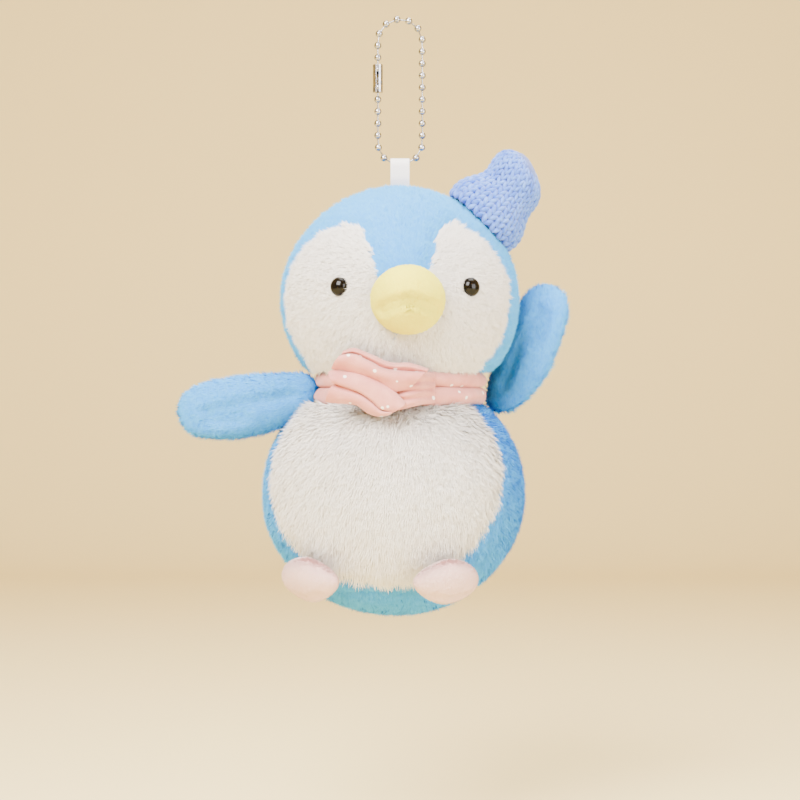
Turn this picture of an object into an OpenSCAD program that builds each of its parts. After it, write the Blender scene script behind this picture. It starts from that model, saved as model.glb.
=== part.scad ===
// A small plush penguin that hangs from a ball chain: a stuffed head and body
// in pile fabric, two wings, two feet, a beak, a scarf and a knitted hat.
// Millimetres, +Z up. The penguin faces -Y. The origin is the point where a
// hook or ring carries the loop of ball chain: the underside of its top bead.

/* [Ball chain] */
// Diameter of one bead
bead_d = 2.4; // [2.3:0.05:2.5]
// Distance from one bead to the next
bead_pitch = 4; // [3.9:0.05:4.1]
// Width of the hanging loop, between the centres of its two strands
loop_w = 14.8; // [14:0.1:16]
// Distance from the middle of the connector to each bead that it holds
held_bead = 3; // [2.9:0.05:3.1]
// Outside diameter of the connector
connector_d = 3.3; // [3.2:0.05:3.5]

/* [Ribbon] */
// Width of the satin ribbon
ribbon_w = 6.3; // [5:0.1:7]
// Thickness of the satin ribbon
ribbon_t = 0.4; // [0.3:0.05:0.5]

/* [Head] */
// Width of the head
head_w = 79.4; // [76:0.2:80]
// Depth of the head, front to back
head_d = 72; // [68:0.5:76]
// Height of the head, if the neck did not cut it
head_h = 76; // [74:0.5:78]
// Height of the crown of the head
crown_z = -54.8; // [-56:0.1:-54.8]
// Angle that the face is turned to the penguin's own left
face_yaw = 4; // [0:1:8]
// Thickness of the pile fabric, backing and pile together
fabric_t = 2; // [1.6:0.1:2.2]

/* [Beak] */
// Width of the beak
beak_w = 24.6; // [20:0.2:26]
// Height of the beak
beak_h = 23.4; // [20:0.2:25]
// How far the beak stands out of the face
beak_out = 12; // [9:0.5:14]

/* [Eyes] */
// Diameter of the black dome of an eye
eye_d = 6.6; // [5:0.1:8]
// Distance between the middles of the two eyes
eye_gap = 43; // [38:0.5:46]
// Diameter of the washer that locks an eye
washer_d = 9; // [8:0.5:10]

/* [Body] */
// Width of the body
body_w = 88; // [84:0.5:90]
// Depth of the body, front to back
body_d = 74; // [70:0.5:76]
// Height of the body, if the neck did not cut it
body_h = 81; // [79:0.5:82]
// Height of the middle of the body
body_z = -156.5; // [-157:0.1:-156]
// Sideways place of the middle of the body, against the neck
body_x = -2.3; // [-2.5:0.1:-1.5]
// Angle that the body is turned to the penguin's own right
body_yaw = 8; // [0:1:10]
// Width of the white belly panel
belly_w = 77; // [70:0.5:80]
// How far the white belly panel reaches below the middle of the body
belly_drop = 28.5; // [26:0.5:29]

/* [Neck] */
// Diameter of the stuffed neck
neck_d = 39; // [36:0.5:39]
// Height of the point that the neck bends about
neck_z = -122; // [-122.5:0.1:-121.5]

/* [Scarf] */
// Outside diameter of the scarf round the neck
scarf_d = 56.6; // [54:0.2:57]
// Thickness of the folded ends of the scarf
tail_t = 3; // [2:0.1:3.4]

/* [Wings] */
// Length of a wing
wing_l = 40; // [38:0.5:40.5]
// Width of a wing
wing_w = 20; // [16:0.5:21]
// Thickness of a wing
wing_t = 9.6; // [8:0.2:10]
// Angle that the right wing droops below level
right_wing_droop = 7; // [0:1:10]
// Angle that the left wing is raised above level
left_wing_rise = 62; // [60:1:64]

/* [Feet] */
// Width of a foot
foot_w = 23; // [20:0.5:24]
// Height of a foot
foot_h = 16.4; // [14:0.2:17]
// Thickness of a foot
foot_t = 12; // [10:0.2:12.4]

/* [Hat] */
// Diameter of the knitted hat at its cuff
hat_d = 27.4; // [24:0.2:29]
// Height of the knitted hat
hat_h = 29; // [26:0.5:30]
// Angle that the hat leans away from upright
hat_tilt = 45; // [42:1:48]

/* [Hidden] */

// Colours
METAL = "silver";
BLUE = [0.62, 0.82, 0.95];
WHITE = [0.96, 0.94, 0.92];
YELLOW = [0.99, 0.92, 0.58];
PINK = [0.98, 0.88, 0.86];
SCARF = [0.90, 0.70, 0.68];
YARN = [0.66, 0.74, 0.92];
FILL = [0.98, 0.98, 0.98];
BLACK = [0.08, 0.07, 0.07];

seam_gap = 0.2;   // between two panels, and between fabric and stuffing
free_gap = 0.3;   // between pieces that move past each other
huge = 400;       // larger than the whole toy

// Chain: beads are numbered downwards from the connector, round the bottom
// of the loop, up the other strand and over the top.
bead_r = bead_d / 2;
bead_wall = 0.2;
bead_hole_r = 0.34;
link_r = 0.24;
link_head_r = 0.42;
link_head_at = 0.5;      // from the middle of a bead to the link's head
link_free_at = 1.25;     // where a link starts beside a bead that it turns on
bead_count = 26;
loop_r = loop_w / 2;
loop_len = (bead_count + 1) * bead_pitch + 2 * held_bead;
strand_l = loop_len / 2 - PI * loop_r;
loop_top_z = bead_r - loop_r;
loop_bottom_z = loop_top_z - strand_l;
quarter_turn = PI * loop_r / 2;
connector_at = 6 * bead_pitch;
connector_wall = 0.3;
connector_l = 2 * (held_bead + bead_r + 0.1 + connector_wall);
connector_slit = 0.8;
first_bead_at = connector_at + held_bead + bead_pitch;
bottom_first = 4;        // first bead of each stretch of the chain
right_first = 10;
top_first = 17;
left_high_bead = 25;
left_low_beads = [0:bottom_first - 1];
left_low_links = [0:bottom_first - 2];
bottom_beads = [bottom_first:right_first - 1];
bottom_links = [bottom_first:right_first - 2];
right_last = top_first - 1;
right_beads = [right_first:right_last];
right_links = [right_first:right_last - 1];
top_beads = [top_first:left_high_bead - 1];
top_links = [top_first:left_high_bead - 2];

// Head
head_z = crown_z - head_h / 2;
head_semi = [head_w / 2, head_d / 2, head_h / 2];
head_cut_z = neck_z + 5.7;     // lower rim of the head, on the scarf
lobe = [36, -12, 46.5];    // bearing, height angle and half width angle
eye_rise = 4.6;
dome_height = 0.4;       // against the dome's diameter
eye_shank_r = 1.2;
eye_shank_l = 9;
shank_overlap = 0.5;     // how far the shank reaches into the dome
eye_side = eye_gap / 2;
eye_depth = sqrt(1 - pow(eye_side / head_semi[0], 2) - pow(eye_rise / head_semi[2], 2));
eye_out = [eye_side / pow(head_semi[0], 2), eye_depth / head_semi[1], eye_rise / pow(head_semi[2], 2)];
eye_turn = atan2(eye_out[0], eye_out[1]);
eye_lift = asin(eye_out[2] / norm(eye_out));
eye_hole_from = 6;       // in front of the face, where an eye's hole starts
eye_gap_behind = 0.25;   // between the face and the back of the dome
washer_t = 1.2;
washer_at = 3.2;         // behind the dome, inside the fabric
pocket_r = washer_d / 2 + 0.5;
beak_z = -0.3;
beak_seam_z = -3;
beak_fabric_t = 1.4;

// Body and neck
body_semi = [body_w / 2, body_d / 2, body_h / 2];
body_base_cut = -30.5;
belly_half = asin(belly_w / body_w);
belly = [0, belly_half - asin(belly_drop / body_h * 2), belly_half];
cup_r = 29.6;            // hollow in the top of the body, about the neck point
cup_floor = 12;
body_rim_drop = 5;       // top of the body, below the neck point
neck_r = neck_d / 2;
neck_up = 14;
neck_down = 9;
socket_gap = 0.3;

// Scarf
scarf_r = scarf_d / 2;
fold_r = 3.3;            // of the two soft folds of the band
fold_heights = [2, -3.6];
scarf_gap = 0.5;         // between the band and the neck
scarf_under_z = -5.5;    // lower edge of the cloth under the folds
scarf_under_h = 10;
knot_from = 1;           // bearings of the knot
knot_to = 15;
knot_z = -7;
knot_h = 9.5;
knot_t = 3.4;
tail_r = scarf_r + 0.6;
tail_up = 12;            // top of the upper end, above the neck point
tail_flare = 6.8;        // how far that top leans out over the chin
tail_from = -52;         // bearing where the ends stop
tail_foot_z = 0.6;       // lower edge of the upper end
tail_bend_z = 6;         // where it bends outwards
tail_bend_out = 2.8;
tail_low_z = -4.6;       // lower edge of the lower end
tail_low_h = 5.2;

// Wings
wing_fabric_t = 1.3;
wing_semi = [wing_l / 2, wing_t / 2, wing_w / 2];
right_wing_mid = [-55.2, -4, -128.2];
left_wing_mid = [46.2, 8, -106.8];
left_wing_twist = -30;   // turns its inner edge back, behind the head

// Feet
foot_fabric_t = 1.3;
foot_semi = [foot_w / 2, foot_t / 2, foot_h / 2];
foot_mid = [21.5, -32.8, -26.2];
foot_turn = 30;
foot_nod = 38;
foot_seam_z = -2.5;

// Hat
hat_r = hat_d / 2;
hat_t = 1.8;
hat_sink = 1.0;
hat_cuff_h = 13;
hat_cuff_swell = 0.78;   // half height of the rounded cuff, against its height
hat_waist = 0.9;         // how much narrower the crown is than the cuff

$fn = 72;

// ---------------------------------------------------------------- helpers

function degrees_of(turn) = turn * 180 / PI;
function along(at) = at - loop_len * floor(at / loop_len);

// The point on the chain's centre line at a distance from the top of the
// loop, measured down the strand at -X.
function chain_point(at) =
    let (a = along(at))
    a < quarter_turn
        ? [-loop_r * sin(degrees_of(a / loop_r)), 0,
            loop_top_z + loop_r * cos(degrees_of(a / loop_r))]
    : a < quarter_turn + strand_l
        ? [-loop_r, 0, loop_top_z - a + quarter_turn]
    : a < 3 * quarter_turn + strand_l
        ? let (b = degrees_of((a - quarter_turn - strand_l) / loop_r))
            [-loop_r * cos(b), 0, loop_bottom_z - loop_r * sin(b)]
    : a < 3 * quarter_turn + 2 * strand_l
        ? [loop_r, 0, loop_bottom_z + a - 3 * quarter_turn - strand_l]
    : let (b = degrees_of((loop_len - a) / loop_r))
        [loop_r * sin(b), 0, loop_top_z + loop_r * cos(b)];

function bead_at(k) = first_bead_at + k * bead_pitch;
function tilt_to(from, to) = atan2(to[0] - from[0], to[2] - from[2]);

// A ball whose poles and seam stand square to the run of the chain.
module bead_ball(r, here, at)
    rotate([0, tilt_to(here, chain_point(at + bead_pitch)), 0])
        rotate([90, 0, 0])
            sphere(r = r);

module bead(at) {
    here = chain_point(at);
    translate(here)
        difference() {
            bead_ball(bead_r, here, at);
            bead_ball(bead_r - bead_wall, here, at);
            for (side = [-1, 1])
                rotate([0, tilt_to(here, chain_point(at + side * bead_pitch)), 0])
                    cylinder(r = bead_hole_r, h = bead_d);
        }
}

// One dumbbell link. A free end has no head: it starts just outside the bead
// that it turns on.
module link(from, to, free_from = false, free_to = false) {
    a = chain_point(from);
    b = chain_point(to);
    length = norm(b - a);
    start = free_from ? link_free_at : link_head_at;
    stop = free_to ? length - link_free_at : length - link_head_at;
    translate(a)
        rotate([0, tilt_to(a, b), 0])
            union() {
                translate([0, 0, start])
                    cylinder(r = link_r, h = stop - start);
                if (!free_from)
                    translate([0, 0, start])
                        sphere(r = link_head_r);
                if (!free_to)
                    translate([0, 0, stop])
                        sphere(r = link_head_r);
            }
}

module link_after(k, free_from = false, free_to = false)
    link(bead_at(k), bead_at(k + 1), free_from, free_to);

// A stretched ball. Its poles lie up and down, sideways, or front and back.
POLES_UP = [0, 0, 0];
POLES_SIDEWAYS = [0, 90, 0];
POLES_FORWARD = [90, 0, 0];

module ellipsoid(semi, poles = POLES_UP)
    scale(semi)
        rotate(poles)
            sphere(r = 1);

function shrunk(semi, by) = [for (s = semi) s - by];

// The wall of a hollow stretched ball, cut to the shape of the children.
module shell_within(semi, wall, poles = POLES_UP)
    difference() {
        intersection() {
            ellipsoid(semi, poles);
            children();
        }
        ellipsoid(shrunk(semi, wall), poles);
    }

// A block that fills one side of a plane square to an axis.
module below(z) translate([-huge / 2, -huge / 2, z - huge]) cube(huge);
module above(z) translate([-huge / 2, -huge / 2, z]) cube(huge);
module in_front_of(y) translate([-huge / 2, y - huge, -huge / 2]) cube(huge);
module behind(y) translate([-huge / 2, y, -huge / 2]) cube(huge);
module left_of(x) translate([x, -huge / 2, -huge / 2]) cube(huge);
module right_of(x) translate([x - huge, -huge / 2, -huge / 2]) cube(huge);

// A flat cut through an ellipsoid. The patch that it cuts off is centred on a
// bearing and a height angle, and spans a half width angle either way.
module patch_cut(semi, patch, keep_inside, shift) {
    out = [sin(patch[0]) * cos(patch[1]) / semi[0],
        -cos(patch[0]) * cos(patch[1]) / semi[1],
        sin(patch[1]) / semi[2]];
    distance = cos(patch[2]) / norm(out);
    rotate([0, 0, atan2(out[0], -out[1])])
        rotate([90 - asin(out[2] / norm(out)), 0, 0])
            if (keep_inside)
                above(distance + shift);
            else
                below(distance - shift);
}

// ------------------------------------------------------------- ball chain

module chain_top_beads()
    color(METAL)
        for (k = top_beads)
            bead(bead_at(k));

module chain_top_links()
    color(METAL)
        for (k = top_links)
            link_after(k);

module chain_strand_beads()
    color(METAL) {
        for (k = left_low_beads)
            bead(bead_at(k));
        for (k = right_beads)
            bead(bead_at(k));
        bead(bead_at(left_high_bead));
        for (side = [-1, 1])
            bead(connector_at + side * held_bead);
    }

module chain_strand_links()
    color(METAL) {
        for (k = left_low_links)
            link_after(k);
        for (k = right_links)
            link_after(k);
        link_after(right_last, free_to = true);
        link_after(left_high_bead - 1, free_from = true);
        link(connector_at + held_bead, first_bead_at);
        link(connector_at - held_bead - bead_pitch, connector_at - held_bead);
    }

module chain_bottom_beads()
    color(METAL)
        for (k = bottom_beads)
            bead(bead_at(k));

module chain_bottom_links()
    color(METAL) {
        for (k = bottom_links)
            link_after(k);
        link_after(bottom_first - 1, free_from = true);
        link_after(right_first - 1, free_to = true);
    }

module chain_connector()
    color(METAL)
        translate(chain_point(connector_at))
            difference() {
                cylinder(d = connector_d, h = connector_l, center = true);
                cylinder(d = connector_d - 2 * connector_wall,
                    h = connector_l - 2 * connector_wall, center = true);
                cylinder(d = connector_slit, h = 2 * connector_l, center = true);
                translate([-connector_slit / 2, -connector_d, -connector_l])
                    cube([connector_slit, connector_d, 2 * connector_l]);
            }

// ----------------------------------------------------------------- ribbon

ribbon_in = bead_r + 0.15;          // half the space between its two legs
ribbon_fold_z = loop_bottom_z - loop_r;
ribbon_root_z = crown_z + 0.9;
ribbon_root_y = 0.35;
ribbon_arc = degrees_of(ribbon_w / loop_r);

module ribbon_leg() {
    top = [ribbon_in + ribbon_t / 2, ribbon_fold_z + 0.6];
    drop = top[1] - ribbon_root_z;
    lean = atan2(top[0] - ribbon_root_y, drop);
    translate([0, top[0], top[1]])
        rotate([-lean, 0, 0])
            translate([-ribbon_w / 2, -ribbon_t / 2, -norm([drop, top[0] - ribbon_root_y])])
                cube([ribbon_w, ribbon_t, norm([drop, top[0] - ribbon_root_y])]);
}

module ribbon_loop()
    color("white")
        union() {
            translate([0, 0, loop_bottom_z])
                rotate([90, 0, 0])
                    rotate([0, 0, -90 - ribbon_arc / 2])
                        rotate_extrude(angle = ribbon_arc)
                            translate([loop_r, 0])
                                difference() {
                                    circle(r = ribbon_in + ribbon_t);
                                    circle(r = ribbon_in);
                                    translate([0, -loop_r])
                                        square([loop_r, 2 * loop_r]);
                                }
            ribbon_leg();
            mirror([0, 1, 0])
                ribbon_leg();
        }

// ------------------------------------------------------------------- head

module head_place()
    translate([0, 0, head_z])
        rotate([0, 0, face_yaw])
            children();

module head_fabric()
    shell_within(head_semi, fabric_t, POLES_SIDEWAYS)
        intersection() {
            above(head_cut_z - head_z);
            children();
        }

function lobe_on(side) = [side * lobe[0], lobe[1], lobe[2]];

module eye_place(side)
    translate([side * eye_side, -eye_depth * head_semi[1] - eye_gap_behind, eye_rise])
        rotate([0, 0, side * eye_turn])
            rotate([-eye_lift, 0, 0])
                children();

module eye_hole(side, radius, depth)
    eye_place(side)
        rotate([-90, 0, 0])
            translate([0, 0, -eye_hole_from])
                cylinder(r = radius, h = depth + eye_hole_from);

module half_space(side)
    if (side > 0)
        left_of(seam_gap / 2);
    else
        right_of(-seam_gap / 2);

module face_panel(side)
    color(WHITE)
        head_place()
            difference() {
                head_fabric()
                    intersection() {
                        patch_cut(head_semi, lobe_on(side), true, seam_gap / 2);
                        half_space(side);
                    }
                eye_hole(side, eye_shank_r + 0.3, 8);
            }

module face_left() face_panel(1);
module face_right() face_panel(-1);

module head_crown()
    color(BLUE)
        head_place()
            head_fabric()
                intersection() {
                    in_front_of(-seam_gap / 2);
                    patch_cut(head_semi, lobe_on(1), false, seam_gap / 2);
                    patch_cut(head_semi, lobe_on(-1), false, seam_gap / 2);
                }

module head_back(side)
    color(BLUE)
        head_place()
            head_fabric()
                intersection() {
                    behind(seam_gap / 2);
                    half_space(side);
                }

module head_back_left() head_back(1);
module head_back_right() head_back(-1);

module head_stuffing()
    color(FILL)
        difference() {
            head_place()
                difference() {
                    intersection() {
                        ellipsoid(shrunk(head_semi, fabric_t + seam_gap));
                        above(head_cut_z - head_z);
                    }
                    for (side = [-1, 1])
                        eye_hole(side, pocket_r, eye_shank_l + 1);
                }
            translate([0, 0, neck_z])
                cylinder(r = neck_r + socket_gap, h = neck_up + socket_gap);
        }

// ------------------------------------------------------------------- beak

module beak_place()
    head_place()
        translate([0, -head_semi[1] - free_gap, beak_z])
            children();

beak_semi = [beak_w / 2, beak_out, beak_h / 2];

module beak_fabric()
    shell_within(beak_semi, beak_fabric_t)
        intersection() {
            in_front_of(0);
            children();
        }

module beak_upper()
    color(YELLOW)
        beak_place()
            beak_fabric()
                above(beak_seam_z + seam_gap / 2);

module beak_lower()
    color(YELLOW)
        beak_place()
            beak_fabric()
                below(beak_seam_z - seam_gap / 2);

module beak_stuffing()
    color(FILL)
        beak_place()
            intersection() {
                ellipsoid(shrunk(beak_semi, beak_fabric_t + seam_gap));
                in_front_of(0);
            }

// ------------------------------------------------------------------- eyes

module eye(side)
    color(BLACK)
        head_place()
            eye_place(side)
                union() {
                    intersection() {
                        ellipsoid([eye_d / 2, eye_d * dome_height, eye_d / 2]);
                        in_front_of(0);
                    }
                    rotate([-90, 0, 0])
                        translate([0, 0, -shank_overlap])
                            cylinder(r = eye_shank_r, h = eye_shank_l + shank_overlap);
                }

module eye_left() eye(1);
module eye_right() eye(-1);

module eye_washer(side)
    color("white")
        head_place()
            eye_place(side)
                rotate([-90, 0, 0])
                    translate([0, 0, washer_at])
                        difference() {
                            cylinder(d = washer_d, h = washer_t);
                            translate([0, 0, -1])
                                cylinder(r = eye_shank_r + 0.05, h = washer_t + 2);
                        }

module eye_washer_left() eye_washer(1);
module eye_washer_right() eye_washer(-1);

// -------------------------------------------------------------------- hat

// The hat's own axis stands square to the head, at its tilt.
hat_seat = 1 / sqrt(pow(sin(hat_tilt) / head_semi[0], 2) + pow(cos(hat_tilt) / head_semi[2], 2));

module hat_place()
    translate([0, 0, head_z])
        rotate([0, hat_tilt, 0])
            translate([0, 0, hat_seat - hat_sink])
                children();

// Half outline of the hat: a turned-up cuff, a waist and a rounded crown.
module hat_half(in = 0) {
    crown_r = hat_r - hat_waist - in;
    crown_z0 = hat_cuff_h + 2;
    intersection() {
        union() {
            translate([0, hat_cuff_h / 2])
                scale([hat_r - in, hat_cuff_h * hat_cuff_swell])
                    circle(r = 1);
            translate([0, crown_z0])
                scale([crown_r, hat_h - crown_z0 - in])
                    circle(r = 1);
        }
        square([hat_r, hat_h]);
    }
}

module hat_knit()
    color(YARN)
        hat_place()
            rotate_extrude()
                difference() {
                    hat_half();
                    translate([0, -0.01])
                        hat_half(hat_t);
                }

module hat_stuffing()
    color(FILL)
        hat_place()
            rotate_extrude()
                intersection() {
                    hat_half(hat_t + seam_gap);
                    translate([0, hat_sink + 2 * seam_gap])
                        square([hat_r, hat_h]);
                }

// ------------------------------------------------------------------- neck

module neck_stuffing()
    color(FILL)
        translate([0, 0, neck_z - neck_down])
            cylinder(r = neck_r, h = neck_down + neck_up);

// ------------------------------------------------------------------- body

module body_place()
    translate([body_x, 0, body_z])
        rotate([0, 0, -body_yaw])
            children();

// The hollow in the top of the body, where the neck bends.
module neck_cup()
    rotate([0, 0, body_yaw])
        translate([-body_x, 0, neck_z - body_z])
            intersection() {
                sphere(r = cup_r);
                above(-cup_floor);
            }

module body_top_cut()
    union() {
        neck_cup();
        above(neck_z - body_z - body_rim_drop);
    }

module body_fabric(poles)
    difference() {
        shell_within(body_semi, fabric_t, poles)
            children();
        body_top_cut();
    }

module belly_panel()
    color(WHITE)
        body_place()
            body_fabric(POLES_SIDEWAYS)
                patch_cut(body_semi, belly, true, seam_gap / 2);

module body_side(side)
    color(BLUE)
        body_place()
            body_fabric(POLES_FORWARD)
                intersection() {
                    above(body_base_cut + seam_gap / 2);
                    patch_cut(body_semi, belly, false, seam_gap / 2);
                    half_space(side);
                }

module body_side_left() body_side(1);
module body_side_right() body_side(-1);

module body_base()
    color(BLUE)
        body_place()
            shell_within(body_semi, fabric_t)
                below(body_base_cut - seam_gap / 2);

module body_stuffing()
    color(FILL)
        body_place()
            difference() {
                ellipsoid(shrunk(body_semi, fabric_t + seam_gap));
                body_top_cut();
            }

// ------------------------------------------------------------------ scarf

// A stretch of cloth that lies round the neck from one bearing to another.
// Bearing 0 is straight ahead, and positive bearings are towards +X.
module neck_wrap(from, to)
    translate([0, 0, neck_z])
        rotate([0, 0, -90 + from])
            rotate_extrude(angle = to - from)
                children();

module scarf_band()
    color(SCARF)
        translate([0, 0, neck_z])
            rotate_extrude()
                union() {
                    for (z = fold_heights)
                        translate([scarf_r - fold_r, z])
                            circle(r = fold_r);
                    translate([neck_r + scarf_gap, scarf_under_z])
                        square([scarf_r - fold_r - neck_r, scarf_under_h]);
                }

module scarf_knot()
    color(SCARF)
        neck_wrap(knot_from, knot_to)
            translate([tail_r, knot_z])
                square([knot_t, knot_h]);

module scarf_tail_upper()
    color(SCARF)
        neck_wrap(tail_from, 0)
            polygon([
                [tail_r, tail_foot_z],
                [tail_r + tail_bend_out, tail_bend_z],
                [tail_r + tail_flare, tail_up],
                [tail_r + tail_flare + tail_t, tail_up],
                [tail_r + tail_bend_out + tail_t, tail_bend_z],
                [tail_r + tail_t, tail_foot_z]
            ]);

module scarf_tail_lower()
    color(SCARF)
        neck_wrap(tail_from, 0)
            translate([tail_r, tail_low_z])
                square([tail_t, tail_low_h]);

// ------------------------------------------------------------------ wings

module wing_right_place()
    translate(right_wing_mid)
        rotate([0, -right_wing_droop, 0])
            children();

module wing_left_place()
    translate(left_wing_mid)
        rotate([left_wing_twist, -left_wing_rise, 0])
            children();

module wing_front()
    color(BLUE)
        shell_within(wing_semi, wing_fabric_t)
            in_front_of(-seam_gap / 2);

module wing_back()
    color(BLUE)
        shell_within(wing_semi, wing_fabric_t)
            behind(seam_gap / 2);

module wing_stuffing()
    color(FILL)
        ellipsoid(shrunk(wing_semi, wing_fabric_t + seam_gap));

module wing_left_front() wing_left_place() wing_front();
module wing_left_back() wing_left_place() wing_back();
module wing_left_stuffing() wing_left_place() wing_stuffing();
module wing_right_front() wing_right_place() wing_front();
module wing_right_back() wing_right_place() wing_back();
module wing_right_stuffing() wing_right_place() wing_stuffing();

// ------------------------------------------------------------------- feet

module foot_place(side)
    body_place()
        translate([side * foot_mid[0], foot_mid[1], foot_mid[2]])
            rotate([0, 0, side * foot_turn])
                rotate([foot_nod, 0, 0])
                    children();

module foot_top(side)
    color(PINK)
        foot_place(side)
            shell_within(foot_semi, foot_fabric_t)
                above(foot_seam_z + seam_gap / 2);

module foot_sole(side)
    color(PINK)
        foot_place(side)
            shell_within(foot_semi, foot_fabric_t)
                below(foot_seam_z - seam_gap / 2);

module foot_stuffing(side)
    color(FILL)
        foot_place(side)
            ellipsoid(shrunk(foot_semi, foot_fabric_t + seam_gap));

module foot_left_top() foot_top(1);
module foot_left_sole() foot_sole(1);
module foot_left_stuffing() foot_stuffing(1);
module foot_right_top() foot_top(-1);
module foot_right_sole() foot_sole(-1);
module foot_right_stuffing() foot_stuffing(-1);

// ---------------------------------------------------------------- drawing

chain_top_beads();
chain_top_links();
chain_strand_beads();
chain_strand_links();
chain_bottom_beads();
chain_bottom_links();
chain_connector();
ribbon_loop();
head_crown();
head_back_left();
head_back_right();
face_left();
face_right();
head_stuffing();
beak_upper();
beak_lower();
beak_stuffing();
eye_left();
eye_right();
eye_washer_left();
eye_washer_right();
hat_knit();
hat_stuffing();
neck_stuffing();
belly_panel();
body_side_left();
body_side_right();
body_base();
body_stuffing();
scarf_band();
scarf_knot();
scarf_tail_upper();
scarf_tail_lower();
wing_left_front();
wing_left_back();
wing_left_stuffing();
wing_right_front();
wing_right_back();
wing_right_stuffing();
foot_left_top();
foot_left_sole();
foot_left_stuffing();
foot_right_top();
foot_right_sole();
foot_right_stuffing();
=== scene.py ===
# %% [markdown]
# # A plush penguin on a ball chain
# The object is a small soft toy: panels of pile fabric sewn together and filled, a folded cotton scarf,
# a knitted hat, glossy eyes, and a ribbon that hangs it from a loop of ball chain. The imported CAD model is
# the frame: it holds the true sizes and joints. This lesson builds the looks around it, piece by piece.

# %% Load the frame
import math
import bpy
from mathutils import Euler, Matrix, Vector


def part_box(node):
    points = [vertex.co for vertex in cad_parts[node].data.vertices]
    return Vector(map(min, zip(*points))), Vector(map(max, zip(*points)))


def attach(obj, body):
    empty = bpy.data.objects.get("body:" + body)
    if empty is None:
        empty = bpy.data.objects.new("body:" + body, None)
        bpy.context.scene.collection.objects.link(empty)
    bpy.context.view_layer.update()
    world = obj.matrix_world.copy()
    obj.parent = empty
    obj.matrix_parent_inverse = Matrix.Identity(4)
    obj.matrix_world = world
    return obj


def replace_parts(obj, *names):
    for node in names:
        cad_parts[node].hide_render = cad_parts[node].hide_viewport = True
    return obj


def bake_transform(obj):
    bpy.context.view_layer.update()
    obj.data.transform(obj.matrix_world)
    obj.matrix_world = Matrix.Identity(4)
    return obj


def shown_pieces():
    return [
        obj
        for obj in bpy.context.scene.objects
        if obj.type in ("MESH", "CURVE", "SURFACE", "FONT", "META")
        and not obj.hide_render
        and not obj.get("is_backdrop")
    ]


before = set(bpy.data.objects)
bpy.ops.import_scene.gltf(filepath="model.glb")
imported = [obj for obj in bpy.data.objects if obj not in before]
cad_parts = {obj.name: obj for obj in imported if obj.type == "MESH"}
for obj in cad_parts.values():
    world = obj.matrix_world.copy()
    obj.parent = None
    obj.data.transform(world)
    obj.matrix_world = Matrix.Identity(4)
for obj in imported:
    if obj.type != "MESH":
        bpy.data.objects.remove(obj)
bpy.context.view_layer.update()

MM = 0.001
print("frame loaded:", len(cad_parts), "nodes")

# %% [markdown]
# ## Small helpers
# An operator works on whatever is selected, and a freshly loaded model is selected all over. So the first
# helper clears the selection and makes one piece active. Sizes are easier to read in millimetres, so a
# second helper turns them into metres.

# %% Helpers for selecting, placing and finishing a piece
def mm(x, y, z):
    return Vector((x, y, z)) * MM


def use_nothing():
    if bpy.context.object and bpy.context.object.mode != "OBJECT":
        end_edit()
    bpy.ops.object.select_all(action="DESELECT")


def use(piece):
    use_nothing()
    piece.select_set(True)
    bpy.context.view_layer.objects.active = piece
    return piece


def edit(piece, select="SELECT", kind="VERT"):
    """Opens a piece in edit mode with all of it selected, or nothing."""
    use(piece)
    bpy.ops.object.mode_set(mode="EDIT")
    bpy.ops.mesh.select_mode(type=kind)
    bpy.ops.mesh.select_all(action=select)


def end_edit():
    bpy.ops.object.mode_set(mode="OBJECT")


def rename(piece, name):
    piece.name = name
    piece.data.name = name
    return piece


def settle(piece):
    use(piece)
    bpy.ops.object.transform_apply(location=True, rotation=True, scale=True)
    return piece


def copy_of(piece, name):
    twin = piece.copy()
    twin.data = piece.data.copy()
    bpy.context.scene.collection.objects.link(twin)
    return rename(twin, name)


def apply_all(piece):
    use(piece)
    for modifier in list(piece.modifiers):
        bpy.ops.object.modifier_apply(modifier=modifier.name)
    return piece


def soften(piece, angle=60):
    use(piece)
    bpy.ops.object.shade_smooth_by_angle(angle=math.radians(angle))
    return piece


def triangles(piece):
    return sum(len(polygon.vertices) - 2 for polygon in piece.data.polygons)


def join(pieces, name):
    use(pieces[0])
    for piece in pieces[1:]:
        piece.select_set(True)
    bpy.ops.object.join()
    return rename(bpy.context.object, name)


def remove(piece):
    bpy.data.objects.remove(piece, do_unlink=True)


def paint(piece, material):
    piece.data.materials.clear()
    piece.data.materials.append(material)
    return piece


# %% [markdown]
# ## The camera and the lights
# The toy is seen straight on, level with its middle, from a little over half a metre away. Soft boxes are
# the right lamps for plush: a large area light gives shadows with wide soft edges, so the pile reads as
# depth and not as noise. The camera comes first, because every later choice is judged through it.

# %% Camera, soft boxes and sky
NECK = mm(0, 0, -122)
view_centre = mm(0, 0, -125.8)
bpy.ops.object.camera_add(location=view_centre + mm(0, -585, 0), rotation=(math.pi / 2, 0, 0))
camera = bpy.context.object
camera.data.lens = 78.9
camera.data.clip_start = 0.01
bpy.context.scene.camera = camera


def soft_box(name, at, size, power, tint):
    bpy.ops.object.light_add(type="AREA", location=at)
    lamp = bpy.context.object
    lamp.name = name
    lamp.data.size = size
    lamp.data.energy = power
    lamp.data.color = tint
    lamp.rotation_euler = (view_centre - Vector(at)).to_track_quat("-Z", "Y").to_euler()


soft_box("key_box", (-0.30, -0.60, 0.40), 0.55, 29.0, (1.0, 0.985, 0.965))
soft_box("fill_box", (0.65, -0.55, 0.05), 0.60, 13.0, (0.99, 0.99, 1.0))
soft_box("top_box", (0.10, 0.05, 0.50), 0.45, 6.5, (1.0, 1.0, 1.0))

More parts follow.
